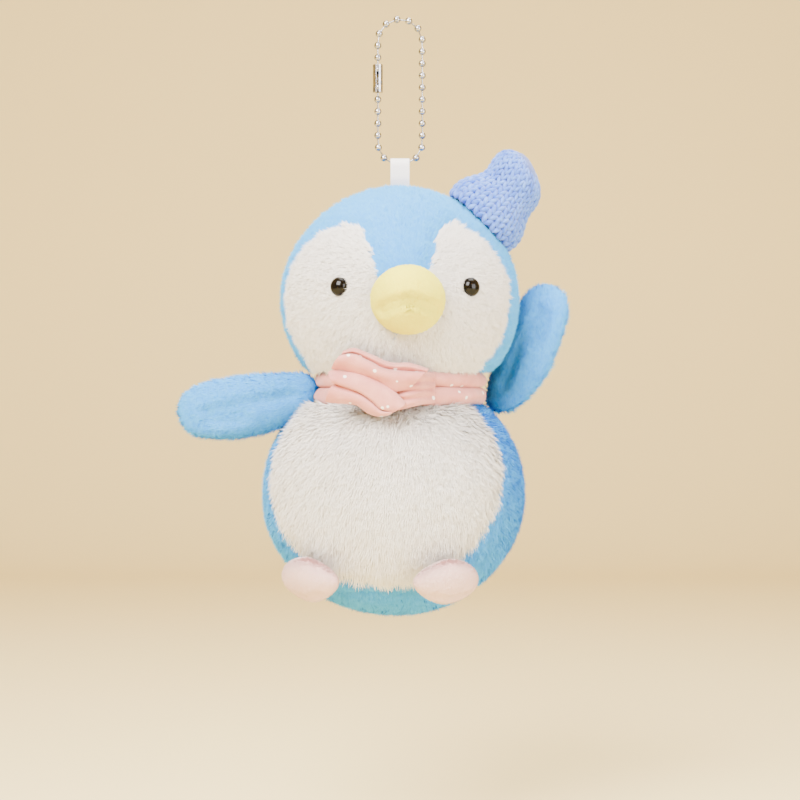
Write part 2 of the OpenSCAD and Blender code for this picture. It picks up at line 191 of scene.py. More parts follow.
sky = bpy.data.worlds.new("soft_sky")
bpy.context.scene.world = sky
sky.use_nodes = True
sky.node_tree.nodes["Background"].inputs["Color"].default_value = (0.98, 0.99, 1.0, 1)
sky.node_tree.nodes["Background"].inputs["Strength"].default_value = 2.3


# %% [markdown]
# ## Node groups that several finishes share
# Pile, cotton, yarn and satin all vary a little from place to place. One group makes soft patches, one makes
# a fine grain for bump, and one mixes a fibre's colour from its root, in painted shade, to its tip. Each is built
# once and placed in every material that needs it, with its own values. Groups only give out masks, heights and
# colours: the shader itself stays in the material.

# %% Helpers to build node trees
def add_node(tree, kind, inputs=None, **settings):
    made = tree.nodes.new(kind)
    for key, value in settings.items():
        setattr(made, key, value)
    for key, value in (inputs or {}).items():
        if isinstance(value, bpy.types.NodeSocket):
            tree.links.new(value, made.inputs[key])
        else:
            made.inputs[key].default_value = value
    return made


def new_group(name, ins, outs, kind="ShaderNodeTree"):
    tree = bpy.data.node_groups.new(name, kind)
    for label, socket in ins:
        tree.interface.new_socket(label, in_out="INPUT", socket_type="NodeSocket" + socket)
    for label, socket in outs:
        tree.interface.new_socket(label, in_out="OUTPUT", socket_type="NodeSocket" + socket)
    return tree, tree.nodes.new("NodeGroupInput"), tree.nodes.new("NodeGroupOutput")


def rgb(r, g, b):
    """A display colour, 0 to 255, as the linear colour that a shader wants."""
    parts = [v / 255 for v in (r, g, b)]
    return [*[v / 12.92 if v <= 0.04045 else ((v + 0.055) / 1.055) ** 2.4 for v in parts], 1]


def one_over(tree, socket):
    return add_node(tree, "ShaderNodeMath", {0: 1.0, 1: socket}, operation="DIVIDE").outputs[0]


def two_tone(tree, factor, dark, light):
    """A mix of two display colours, which a mask drives."""
    tone = add_node(tree, "ShaderNodeMix", data_type="RGBA")
    tree.links.new(factor, tone.inputs[0])
    tone.inputs[6].default_value, tone.inputs[7].default_value = rgb(*dark), rgb(*light)
    return tone.outputs[2]


def add_bump(tree, shader, height, strength, distance):
    bump = add_node(tree, "ShaderNodeBump", {"Height": height, "Strength": strength, "Distance": distance})
    tree.links.new(bump.outputs[0], shader.inputs["Normal"])


# %% Soft patches, fine grain and fibre colour
patches, gin, gout = new_group(
    "soft_patches", [("Position", "Vector"), ("Size", "Float"), ("Contrast", "Float")], [("Mask", "Float")])
scale = one_over(patches, gin.outputs["Size"])
cloud = add_node(patches, "ShaderNodeTexNoise",
                 {"Vector": gin.outputs["Position"], "Scale": scale, "Detail": 3.0})
centred = add_node(patches, "ShaderNodeMath", {0: cloud.outputs["Fac"], 1: 0.5}, operation="SUBTRACT")
wide = add_node(patches, "ShaderNodeMath", {0: centred.outputs[0], 1: gin.outputs["Contrast"], 2: 0.5},
                operation="MULTIPLY_ADD", use_clamp=True)
patches.links.new(wide.outputs[0], gout.inputs["Mask"])

grain, gin, gout = new_group(
    "fine_grain", [("Position", "Vector"), ("Size", "Float"), ("Stretch", "Vector")], [("Height", "Float")])
scale = one_over(grain, gin.outputs["Size"])
pulled = add_node(grain, "ShaderNodeVectorMath",
                  {0: gin.outputs["Position"], 1: gin.outputs["Stretch"]}, operation="MULTIPLY")
speck = add_node(grain, "ShaderNodeTexNoise",
                 {"Vector": pulled.outputs[0], "Scale": scale, "Detail": 4.0, "Roughness": 0.6})
grain.links.new(speck.outputs["Fac"], gout.inputs["Height"])

# The mix from root to tip paints shade at the roots of the fibres; the mask adds random tone.
fibre_colour, gin, gout = new_group(
    "fibre_colour",
    [("Along", "Float"), ("Mask", "Float"), ("Root", "Color"), ("Tip", "Color"), ("Shade", "Color")],
    [("Color", "Color")])
painted_root_shade = add_node(fibre_colour, "ShaderNodeMix", {"Factor": gin.outputs["Along"]}, data_type="RGBA")
for socket, label in ((6, "Root"), (7, "Tip")):
    fibre_colour.links.new(gin.outputs[label], painted_root_shade.inputs[socket])
varied = add_node(fibre_colour, "ShaderNodeMix", data_type="RGBA")
fibre_colour.links.new(gin.outputs["Mask"], varied.inputs[0])
fibre_colour.links.new(painted_root_shade.outputs[2], varied.inputs[6])
fibre_colour.links.new(gin.outputs["Shade"], varied.inputs[7])
fibre_colour.links.new(varied.outputs[2], gout.inputs["Color"])


# %% [markdown]
# ## Pile fabric
# Plush is short fibre standing on a knitted backing. The colour is painted deeper at the root, as painted
# shade where little light gets in, and paler at the tip. A fibre carries the number "tip" along its length,
# from 0 to 1, and the material reads it. The backing has no such number, so it takes the root's painted shade.

# %% The pile material
def start_material(name):
    material = bpy.data.materials.new(name)
    material.use_nodes = True
    tree = material.node_tree
    place = add_node(tree, "ShaderNodeTexCoord")
    return material, tree, tree.nodes["Principled BSDF"], place.outputs["Object"]


def use_group(tree, group, values):
    return add_node(tree, "ShaderNodeGroup", values, node_tree=group)


def set_shader(shader, values):
    for key, value in values.items():
        shader.inputs[key].default_value = value


def pile_material(name, root, tip, shade, patch_mm=6.0, contrast=1.6, sheen=0.35):
    material, tree, shader, place = start_material(name)
    # The tip number darkens the colour towards the root: painted shade between the fibres.
    along = add_node(tree, "ShaderNodeAttribute", attribute_name="tip")
    mask = use_group(tree, patches, {"Position": place, "Size": patch_mm * MM, "Contrast": contrast})
    soft = add_node(tree, "ShaderNodeMath", {0: mask.outputs[0], 1: 0.55}, operation="MULTIPLY")
    colour = use_group(tree, fibre_colour, {
        "Along": along.outputs["Fac"], "Mask": soft.outputs[0],
        "Root": rgb(*root), "Tip": rgb(*tip), "Shade": rgb(*shade)})
    tree.links.new(colour.outputs[0], shader.inputs["Base Color"])
    height = use_group(tree, grain, {"Position": place, "Size": 0.5 * MM, "Stretch": (1, 1, 0.5)})
    add_bump(tree, shader, height.outputs[0], 0.5, 0.5 * MM)
    rough = add_node(tree, "ShaderNodeMapRange", {"Value": mask.outputs[0], "To Min": 0.82, "To Max": 0.95})
    tree.links.new(rough.outputs[0], shader.inputs["Roughness"])
    set_shader(shader, {"Specular IOR Level": 0.2, "Sheen Weight": sheen, "Sheen Roughness": 0.5,
                        "Sheen Tint": rgb(*tip)})
    return material


# Each root colour is darker than its tip: painted shade at the base of the pile.
blue_pile = pile_material("blue_pile", (36, 150, 240), (96, 198, 255), (44, 156, 244),
                          patch_mm=1.6, contrast=2.6, sheen=0.25)
white_pile = pile_material("white_pile", (228, 222, 216), (251, 248, 245), (242, 237, 232),
                           patch_mm=9, contrast=1.3)
yellow_pile = pile_material("yellow_pile", (255, 238, 48), (255, 252, 96), (255, 244, 70), patch_mm=2.5, sheen=0.1)
pink_pile = pile_material("pink_pile", (252, 206, 200), (255, 230, 226), (254, 220, 214), patch_mm=4)


# %% [markdown]
# ## Tufts
# A whole coat of fibre would be heavy to model strand by strand, so one tuft is modelled and scattered.
# Each blade starts as a plane, is narrowed to a tip in edit mode, and is copied round the tuft with its own
# lean. A long tuft has a bend in each blade, and a short one is made of straight blades.

# %% Model one tuft
def blade(name, length, width, bends):
    use_nothing()
    bpy.ops.mesh.primitive_plane_add(size=1)
    piece = rename(bpy.context.object, name)
    piece.scale = (width * MM, length * MM, 1)
    piece.location = (0, length * MM / 2, 0)
    settle(piece)
    edit(piece)
    if bends:
        bpy.ops.mesh.bisect(plane_co=(0, length * MM * 0.5, 0), plane_no=(0, 1, 0))
    end_edit()
    for vertex in piece.data.vertices:
        if vertex.co.y > length * MM * 0.99:
            vertex.co.x = 0
            vertex.co.z += 0.10 * length * MM if bends else 0
        elif vertex.co.y > 0.01 * length * MM:
            vertex.co.x *= 0.8
    edit(piece)
    bpy.ops.mesh.remove_doubles(threshold=1e-7)
    bpy.ops.mesh.flip_normals()
    end_edit()
    piece.rotation_euler = (math.pi / 2, 0, 0)
    return settle(piece)


def tuft(name, length, width, blades, spread, bends=True):
    made = []
    for k in range(blades):
        one = blade(name + "_blade", length * (1 - 0.35 * ((k * 7) % blades) / blades), width, bends)
        round_angle = 2 * math.pi * k / blades + 0.4
        lean = math.radians(spread * (0.35 + 0.65 * ((k * 5) % blades) / blades))
        radius = 0.45 * width * MM * (1 + k % 2)
        one.rotation_euler = (lean * math.sin(round_angle), lean * math.cos(round_angle), (k % 3 - 1) * 0.5)
        one.location = (radius * math.cos(round_angle), radius * math.sin(round_angle), 0)
        made.append(settle(one))
    piece = join(made, name)
    # The tip number, 0 at the root and 1 at the tip, lets the pile material paint shade towards the root.
    tip = piece.data.attributes.new("tip", "FLOAT", "POINT")
    tip.data.foreach_set("value", [min(1.0, max(0.0, v.co.z / (length * MM))) for v in piece.data.vertices])
    return piece


short_tuft = tuft("short_tuft", 2.6, 0.42, 6, 24, bends=False)
long_tuft = tuft("long_tuft", 5.2, 0.36, 6, 22)
velvet_tuft = tuft("velvet_tuft", 1.2, 0.34, 5, 40, bends=False)
print("tuft triangles:", [triangles(piece) for piece in (short_tuft, long_tuft, velvet_tuft)])

# %% [markdown]
# ## Scattering the tufts
# Pile has a nap: the fibres lie over in one direction, usually down the body. The node tree below scatters
# tufts over a panel, turns each one towards the nap, and adds clumps and a little mess. It is made once, and
# each panel gives it its own values. Points scattered with a seed come out the same every time.

# %% The pile fibres node tree
fibres, gin, gout = new_group("pile_fibres", [
    ("Geometry", "Geometry"), ("Tuft", "Object"), ("Density", "Float"), ("Nap", "Vector"), ("From", "Vector"),
    ("Away", "Float"), ("Lift", "Float"), ("Clump", "Float"), ("Clump size", "Float"), ("Mess", "Float"),
    ("Short", "Float"), ("Long", "Float"), ("Seed", "Int")], [("Geometry", "Geometry")], "GeometryNodeTree")


def vector_math(operation, a, b=None, scale=None):
    values = {0: a}
    if b is not None:
        values[1] = b
    if scale is not None:
        values["Scale"] = scale
    return add_node(fibres, "ShaderNodeVectorMath", values, operation=operation).outputs[0]


scatter = add_node(fibres, "GeometryNodeDistributePointsOnFaces", {
    "Mesh": gin.outputs["Geometry"], "Density": gin.outputs["Density"], "Seed": gin.outputs["Seed"]})
normal = scatter.outputs["Normal"]
where = add_node(fibres, "GeometryNodeInputPosition").outputs[0]
outward = vector_math("NORMALIZE", vector_math("SUBTRACT", where, gin.outputs["From"]))
nap = vector_math("ADD", gin.outputs["Nap"], vector_math("SCALE", outward, scale=gin.outputs["Away"]))
flat_nap = vector_math("SUBTRACT", nap, vector_math("PROJECT", nap, normal))
clump_scale = one_over(fibres, gin.outputs["Clump size"])
clump_noise = add_node(fibres, "ShaderNodeTexNoise",
                       {"Vector": where, "Scale": clump_scale, "Detail": 2.0})
clump = vector_math("SCALE", vector_math("SUBTRACT", clump_noise.outputs["Color"], (0.5, 0.5, 0.5)),
                    scale=gin.outputs["Clump"])
mess = add_node(fibres, "FunctionNodeRandomValue", {0: (-1, -1, -1), 1: (1, 1, 1), "Seed": gin.outputs["Seed"]},
                data_type="FLOAT_VECTOR")
mess_vector = vector_math("SCALE", mess.outputs[0], scale=gin.outputs["Mess"])
lifted = vector_math("SCALE", normal, scale=gin.outputs["Lift"])
direction = vector_math("ADD", vector_math("ADD", lifted, flat_nap), vector_math("ADD", clump, mess_vector))
stand = add_node(fibres, "FunctionNodeAlignRotationToVector", {"Vector": direction}, axis="Z")
faced = add_node(fibres, "FunctionNodeAlignRotationToVector",
                 {"Rotation": stand.outputs[0], "Vector": normal}, axis="Y", pivot_axis="Z")
length = add_node(fibres, "FunctionNodeRandomValue", data_type="FLOAT")
fibres.links.new(gin.outputs["Short"], length.inputs[2])
fibres.links.new(gin.outputs["Long"], length.inputs[3])
source = add_node(fibres, "GeometryNodeObjectInfo", {"Object": gin.outputs["Tuft"]})
planted = add_node(fibres, "GeometryNodeInstanceOnPoints", {
    "Points": scatter.outputs["Points"], "Instance": source.outputs["Geometry"], "Rotation": faced.outputs[0],
    "Scale": length.outputs[1]})
real = add_node(fibres, "GeometryNodeRealizeInstances", {0: planted.outputs[0]})
fibres.links.new(real.outputs[0], gout.inputs[0])


def grow_pile(panel, name, tuft_piece, per_mm2, nap=(0, 0, -1), away=0.0, start=(0, 0, 0), lift=0.8,
              clump=0.9, clump_mm=5.0, mess=0.25, short=0.7, long=1.1, seed=1, shading=0.75):
    coat = copy_of(panel, name)
    grow = coat.modifiers.new("grow", "NODES")
    grow.node_group = fibres
    values = {"Tuft": tuft_piece, "Density": per_mm2 * 1e6, "Nap": nap, "From": start, "Away": away, "Lift": lift,
              "Clump": clump, "Clump size": clump_mm * MM, "Mess": mess, "Short": short, "Long": long, "Seed": seed}
    for item in fibres.interface.items_tree:
        if item.in_out == "INPUT" and item.name in values:
            grow[item.identifier] = values[item.name]
    apply_all(coat)
    use(coat)
    bpy.ops.object.shade_smooth()
    borrow = coat.modifiers.new("soft_shading", "DATA_TRANSFER")
    borrow.object = panel
    borrow.use_loop_data = True
    borrow.data_types_loops = {"CUSTOM_NORMAL"}
    borrow.loop_mapping = "POLYINTERP_NEAREST"
    borrow.mix_factor = shading
    apply_all(coat)
    paint(coat, panel.data.materials[0])
    print(name, "triangles:", triangles(coat))
    return coat


# %% [markdown]
# ## Stuffed balls cut into panels
# The head and the body are each close to a ball. The real ones are sewn from curved panels, and the stuffing
# rounds them out. So each panel starts as a ball of the right size, is cut by the same planes as its
# neighbours, and has its cut edge drawn in a little, as a seam does. A few soft lumps come from a displace
# modifier, and a solidify modifier gives the fabric its thickness.

# %% Balls, cuts, seams and lumps
lump_texture = bpy.data.textures.new("stuffing_lumps", "CLOUDS")
lump_texture.noise_scale = 0.020


def ball(name, semi, centre, turn=(0, 0, 0), detail=6):
    use_nothing()
    bpy.ops.mesh.primitive_ico_sphere_add(subdivisions=detail, radius=1)
    piece = rename(bpy.context.object, name)
    piece.scale = [s * MM for s in semi]
    piece.rotation_euler = turn
    piece.location = centre
    return settle(piece)


def cut_away(piece, point, normal):
    """Takes off what lies on the side that the normal points to."""
    edit(piece)
    bpy.ops.mesh.bisect(plane_co=point, plane_no=normal, clear_outer=True)
    end_edit()


def press_in(depth, reach):
    """Pushes in what is selected, and what lies within reach of it follows softly."""
    bpy.ops.transform.shrink_fatten(value=-depth * MM, use_proportional_edit=True,
                                    proportional_edit_falloff="SMOOTH", proportional_size=reach * MM)
    end_edit()


def draw_in_seams(piece, depth, reach):
    edit(piece, "DESELECT")
    bpy.ops.mesh.select_non_manifold()
    press_in(depth, reach)


def add_lumps(piece, height):
    lumps = piece.modifiers.new("lumps", "DISPLACE")
    lumps.texture = lump_texture
    lumps.texture_coords = "LOCAL"
    lumps.strength = height * MM
    lumps.mid_level = 0.5
    return apply_all(piece)


def back_with_cloth(piece, thickness=0.7):
    wall = piece.modifiers.new("cloth", "SOLIDIFY")
    wall.thickness = thickness * MM
    wall.offset = -1
    apply_all(piece)
    return soften(piece)


def patch_plane(semi, centre, yaw, height, half):
    """The flat cut that takes a round patch off a stretched ball: a point on it and its outward normal."""
    h = math.radians(height)
    out = Vector((0, -math.cos(h) / semi[1], math.sin(h) / semi[2]))
    distance = math.cos(math.radians(half)) / out.length * MM
    turn = Matrix.Rotation(yaw, 3, "Z")
    n = turn @ out.normalized()
    return centre + n * distance, n


# %% [markdown]
# ## The head
# The crown and forehead are one blue panel, two blue panels make the back, and two white lobes make the
# face. The white pile is longer than the blue, so it laps over the seam and softens it.

# %% Cut and sew the head
HEAD_SEMI = (39.7, 36.0, 38.0)
HEAD_YAW = math.radians(4)
head_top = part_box("head_crown")[1].z
head_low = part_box("head_crown")[0].z
head_mid = Vector((0, 0, head_top - HEAD_SEMI[2] * MM))
backing = [s - 1.5 for s in HEAD_SEMI]
head_turn = Matrix.Rotation(HEAD_YAW, 3, "Z")
front, side_way = head_turn @ Vector((0, -1, 0)), head_turn @ Vector((1, 0, 0))
LEFT_LOBE = [
    (11.8, 20.4), (17.3, 23.6), (26.0, 18.6), (31.2, 12.6), (34.2, 6.4), (34.8, -1.0), (33.2, -10.9), (29.6, -17.0),
    (26.0, -21.2), (22.4, -30), (-1.3, -30), (-1.3, -12.8), (8.0, 3.8), (9.0, 8.6), (10.6, 14.4)]
RIGHT_LOBE = [
    (-16.3, 23.0), (-11.5, 21.0), (-9.0, 16.2), (-7.4, 9.9), (-6.4, 3.8), (-1.3, -12.8), (-1.3, -30), (-22.4, -30),
    (-28.2, -22.8), (-31.2, -16.7), (-34.0, -12.2), (-36.0, -6.8), (-36.2, 2.2), (-34.2, 10.2), (-30.2, 16.4),
    (-24, 21.2)]


def inside(outline, x, z):
    """True where a point lies inside a closed outline: an odd number of its sides pass above it."""
    crossings = 0
    for (x0, z0), (x1, z1) in zip(outline, outline[1:] + outline[:1]):
        if (x0 > x) != (x1 > x) and z < z0 + (x - x0) * (z1 - z0) / (x1 - x0):
            crossings += 1
    return crossings % 2 == 1


def keep_where(piece, test):
    """Deletes each face whose middle fails the test."""
    edit(piece, "DESELECT", "FACE")
    end_edit()
    for face in piece.data.polygons:
        face.select = not test((face.center - head_mid) / MM)
    bpy.ops.object.mode_set(mode="EDIT")
    bpy.ops.mesh.delete(type="FACE")
    end_edit()


def head_panel(name, cuts, seam=0.9, test=None):
    piece = ball(name, backing, head_mid, (0, 0, HEAD_YAW))
    if test:
        keep_where(piece, test)
    for point, n in [((0, 0, head_low + 0.4 * MM), (0, 0, -1)), *cuts]:
        cut_away(piece, point, n)
    draw_in_seams(piece, seam, 4.0)
    return add_lumps(piece, 0.9)


crown = head_panel("crown_cloth", [(head_mid, -front)], test=lambda at: at.y > 0 or not (
    inside(LEFT_LOBE, at.x, at.z) or inside(RIGHT_LOBE, at.x, at.z)))
back_left = head_panel("head_back_left_cloth", [(head_mid, front), (head_mid, -side_way)])
back_right = head_panel("head_back_right_cloth", [(head_mid, front), (head_mid, side_way)])
face_left = head_panel("face_left_cloth", [], 0.5, lambda at: at.y < 0 and inside(LEFT_LOBE, at.x, at.z))
face_right = head_panel("face_right_cloth", [], 0.5, lambda at: at.y < 0 and inside(RIGHT_LOBE, at.x, at.z))

SHORT_PILE = {"clump": 0.6, "clump_mm": 3, "mess": 0.35, "short": 0.6}
beak_centre = head_mid + front * (HEAD_SEMI[1] * MM) + mm(0, 0, -1.6)
for piece, name, seed in ((crown, "crown_pile", 3), (back_left, "head_back_left_pile", 4),
                          (back_right, "head_back_right_pile", 5)):
    paint(piece, blue_pile)
    coat = grow_pile(piece, name, short_tuft, 4.2, nap=(0, 0, -0.1), away=0.8, start=beak_centre, lift=0.6,
                     long=1.2, seed=seed, **SHORT_PILE)
    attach(coat, "head")
for piece, name, seed in ((face_left, "face_left_pile", 6), (face_right, "face_right_pile", 7)):
    paint(piece, white_pile)
    coat = grow_pile(piece, name, long_tuft, 3.2, nap=(0, 0, -0.35), away=0.9, start=beak_centre + mm(0, 6, 4),
                     lift=0.65, clump=0.6, clump_mm=4, short=0.45, long=0.75, seed=seed)
    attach(coat, "head")
for piece, nodes, slot in (
        (crown, ["head_crown", "head_stuffing"], "blue_pile"), (back_left, ["head_back_left"], "blue_pile"),
        (back_right, ["head_back_right"], "blue_pile"), (face_left, ["face_left"], "white_pile"),
        (face_right, ["face_right"], "white_pile")):
    back_with_cloth(piece)
    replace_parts(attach(piece, "head"), *nodes)

# %% [markdown]
# ## The body
# The body is one white belly panel, two blue sides and a blue base. The belly's pile is the longest on the
# toy: its fringe hangs over the blue below it.

# %% Cut and sew the body
BODY_SEMI = (44.0, 37.0, 40.5)
BODY_YAW = math.radians(-8)
BELLY_WIDTH, BELLY_DROP, BASE_DROP = 77, 28.5, 30.5
body_mid = Vector((-2.3 * MM, 0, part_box("body_base")[0].z + BODY_SEMI[2] * MM))
body_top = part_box("body_side_left")[1].z
body_backing = [s - 1.5 for s in BODY_SEMI]
body_turn = Matrix.Rotation(BODY_YAW, 3, "Z")
body_side_way = body_turn @ Vector((1, 0, 0))
belly_half = math.degrees(math.asin(BELLY_WIDTH / 2 / BODY_SEMI[0]))
belly_height = belly_half - math.degrees(math.asin(BELLY_DROP / BODY_SEMI[2]))
belly_cut = patch_plane(BODY_SEMI, body_mid, BODY_YAW, belly_height, belly_half)
base_point = body_mid + mm(0, 0, -BASE_DROP)


def body_panel(name, cuts, seam=0.9):
    piece = ball(name, body_backing, body_mid, (0, 0, BODY_YAW))
    for point, n in [((0, 0, body_top + 0.9 * MM), (0, 0, 1)), *cuts]:
        cut_away(piece, point, n)
    draw_in_seams(piece, seam, 4.5)
    return add_lumps(piece, 1.1)


belly = body_panel("belly_cloth", [(belly_cut[0], -belly_cut[1])], 0.5)
side_left = body_panel("side_left_cloth", [belly_cut, (base_point, (0, 0, -1)), (body_mid, -body_side_way)])
side_right = body_panel("side_right_cloth", [belly_cut, (base_point, (0, 0, -1)), (body_mid, body_side_way)])
base = body_panel("base_cloth", [(base_point, (0, 0, 1))], 0.5)
paint(belly, white_pile)
coat = grow_pile(belly, "belly_pile", long_tuft, 2.5, nap=(0, 0, -0.9), away=0.25,
                 start=body_mid + mm(0, -20, 20), lift=0.5, long=1.15, seed=8)
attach(coat, "torso")
for piece, name, seed in (
        (side_left, "side_left_pile", 9), (side_right, "side_right_pile", 10), (base, "base_pile", 11)):
    paint(piece, blue_pile)
    coat = grow_pile(piece, name, short_tuft, 3.6, nap=(0, 0, -0.8), lift=0.75, long=1.2, seed=seed, **SHORT_PILE)
    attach(coat, "torso")
for piece, nodes, slot in (
        (belly, ["belly_panel", "body_stuffing"], "white_pile"), (side_left, ["body_side_left"], "blue_pile"),
        (side_right, ["body_side_right"], "blue_pile"), (base, ["body_base"], "blue_pile")):
    back_with_cloth(piece)
    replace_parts(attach(piece, "torso"), *nodes)

# %% [markdown]
# ## The neck
# Under the scarf, head and body are joined by a short stuffed neck. It hardly shows, but it moves with its
# own body in the joints, so it is a short tube of the same blue cloth, with its edges rounded by a bevel.

# %% A stuffed neck
neck_low, neck_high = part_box("neck_stuffing")
use_nothing()
bpy.ops.mesh.primitive_cylinder_add(vertices=64, radius=1, depth=1, end_fill_type="NGON")
neck = rename(bpy.context.object, "neck_cloth")
neck.scale = (neck_high.x - 0.3 * MM, neck_high.y - 0.3 * MM, neck_high.z - neck_low.z)
neck.location = (neck_low + neck_high) / 2
settle(neck)
edit(neck, kind="FACE")
bpy.ops.mesh.bevel(offset=2.0 * MM, segments=4, affect="EDGES")
end_edit()
soften(paint(neck, blue_pile))
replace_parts(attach(neck, "neck"), "neck_stuffing")

# %% [markdown]
# ## Wings and feet
# A wing is two leaf-shaped pieces sewn round the edge and lightly filled, so it is fat in the middle, thin
# at its rim and pointed at its root. It starts as a flattened ball. Edit mode narrows the root, and creases
# are pressed in where the filling is short. The feet are made in the same way, with the narrow end towards
# the middle of the body.

# %% Wings
def press_crease(piece, points, depth, reach):
    """Pushes in the surface near a line drawn through the points."""
    edit(piece, "DESELECT")
    end_edit()
    for a, b in zip(points, points[1:]):
        line = b - a
        for vertex in piece.data.vertices:
            t = max(0.0, min(1.0, (vertex.co - a).dot(line) / line.length_squared))
            if (vertex.co - a - line * t).length < 1.1 * MM:
                vertex.select = True
    bpy.ops.object.mode_set(mode="EDIT")
    press_in(depth, reach)


WING_HALF = 22.6
ROOT_BEND = 3.2
WING_CREASES = (((-16, -4, 1.6), (14, -4, -0.4)), ((3, -4, -3.8), (16, -4, -3.4)), ((-12, 4, 0.8), (12, 4, 0)))


def wing(name, side, middle, turn, body):
    """side is +1 where the tip points to +X. The root is narrowed and the tip is blunt."""
    piece = ball(name + "_cloth", (WING_HALF, 4.2, 9.4), (0, 0, 0), detail=5)
    for vertex in piece.data.vertices:
        out = side * vertex.co.x / (WING_HALF * MM)
        power, most = (3.4, 1.6) if out > 0 else (2.8, 1.5)
        blunt = min(most, max(0.0, 1 - abs(out) ** power) ** 0.38 / math.sqrt(max(0.0004, 1 - out * out)))
        if out > 0:
            vertex.co.z *= blunt
        else:
            vertex.co.z *= (1 + 0.18 * out) * blunt
            vertex.co.z += ROOT_BEND * MM * out * out
            vertex.co.y *= 1 + 0.12 * out
    for line in WING_CREASES:
        press_crease(piece, [mm(side * x, y, z) for x, y, z in line], 0.9, 2.8)
    add_lumps(piece, 0.9)
    piece.rotation_euler = turn
    piece.location = middle
    settle(piece)
    paint(piece, blue_pile)
    along = Euler(turn).to_matrix() @ Vector((side, 0, 0))
    coat = grow_pile(piece, name + "_pile", short_tuft, 3.6, nap=along * 0.8, lift=0.6, long=1.15,
                     seed=12 + side, **SHORT_PILE)
    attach(coat, body)
    soften(piece)
    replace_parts(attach(piece, body),
                body + "_front", body + "_back", body + "_stuffing")


def middle_of(*nodes):
    lows, highs = zip(*[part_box(n) for n in nodes])
    return (Vector(map(min, *lows)) + Vector(map(max, *highs))) / 2


wing("right_wing", -1, middle_of("wing_right_front", "wing_right_back") + mm(5.6, 0, 0.6),
     (0, math.radians(-7), 0), "wing_right")
wing("left_wing", 1, middle_of("wing_left_front", "wing_left_back") + mm(-3.0, 2.2, -2.4),
     (math.radians(-30), math.radians(-69), 0), "wing_left")


# %% Feet
def foot(name, side, body):
    piece = ball(name + "_cloth", (10.6, 5.2, 7.4), (0, 0, 0), detail=5)
    for vertex in piece.data.vertices:
        inward = -side * vertex.co.x / (10.6 * MM)
        narrow = 1 - 0.34 * max(0.0, inward) ** 1.2
        vertex.co.z *= narrow
        vertex.co.y *= 1 - 0.2 * max(0.0, inward)
    press_crease(piece, [mm(-8, -4.6, -2.6), mm(8, -4.6, -2.6)], 0.6, 1.8)
    add_lumps(piece, 0.4)
    middle = middle_of(body + "_top", body + "_sole")
    place = Matrix.Translation(middle) @ Matrix.Rotation(BODY_YAW, 4, "Z") @ Matrix.Rotation(
        math.radians(30 * side), 4, "Z") @ Matrix.Rotation(math.radians(38), 4, "X")
    piece.matrix_world = place
    settle(piece)
    paint(piece, pink_pile)
    coat = grow_pile(piece, name + "_pile", velvet_tuft, 9, nap=(0, 0, -0.8), lift=0.45, clump=0.3, clump_mm=3,
                     mess=0.15, short=0.6, long=0.9, seed=15 + side, shading=1.0)
    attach(coat, body)
    soften(piece)
    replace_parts(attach(piece, body),
                body + "_top", body + "_sole", body + "_stuffing")


foot("left_foot", 1, "foot_left")
foot("right_foot", -1, "foot_right")

# %% [markdown]
# ## The beak
# The beak is a small yellow ball sewn to the face, a little wider than it is tall. A curved seam under its
# middle parts the upper panel from the lower one.

# %% A stuffed beak
beak = ball("beak_cloth", (11.1, 10.8, 10.3), beak_centre, (0, 0, HEAD_YAW), detail=6)
cut_away(beak, beak_centre + front * (-2.0 * MM), -front)
BEAK_SQUARE = 111  # the square of the mouth line's reach in front of the beak's centre
mouth = []
for across in range(-9, 10, 3):
    depth = math.sqrt(BEAK_SQUARE - across * across)
    mouth.append(beak_centre + side_way * (across * MM) + front * (depth * MM)
                 + mm(0, 0, -1.2 - 0.03 * across * across))
press_crease(beak, mouth, 1.3, 2.6)
add_lumps(beak, 0.5)
paint(beak, yellow_pile)
coat = grow_pile(beak, "beak_pile", velvet_tuft, 10, nap=(0, 0, -0.1), away=0.8,
                 start=beak_centre + front * (20 * MM), lift=0.7, clump=0.4, clump_mm=3, mess=0.3,
                 short=0.6, long=1.0, seed=20, shading=0.85)
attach(coat, "head")
back_with_cloth(beak)
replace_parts(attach(beak, "head"),
            "beak_upper", "beak_lower", "beak_stuffing")

# %% [markdown]
# ## The eyes
# Safety eyes are moulded domes of black plastic, polished to a high gloss. Each dome is half of a flattened
# ball with a flat back. The highlights come from the soft boxes, so nothing is painted on.

# %% Eye material and domes
eye_gloss, tree, shader, place = start_material("eye_gloss")
mask = use_group(tree, patches, {"Position": place, "Size": 1.5 * MM, "Contrast": 1.0})
tree.links.new(two_tone(tree, mask.outputs[0], (6, 5, 5), (14, 11, 10)), shader.inputs["Base Color"])
dull = add_node(tree, "ShaderNodeMapRange", {"Value": mask.outputs[0], "To Min": 0.05, "To Max": 0.12})
tree.links.new(dull.outputs[0], shader.inputs["Roughness"])
shader.inputs["Specular IOR Level"].default_value = 0.22


EYE_BEARING, EYE_RISE = math.radians(30.6), 0.118
EYE_HEIGHT, EYE_SINK = 2.9, 0.4


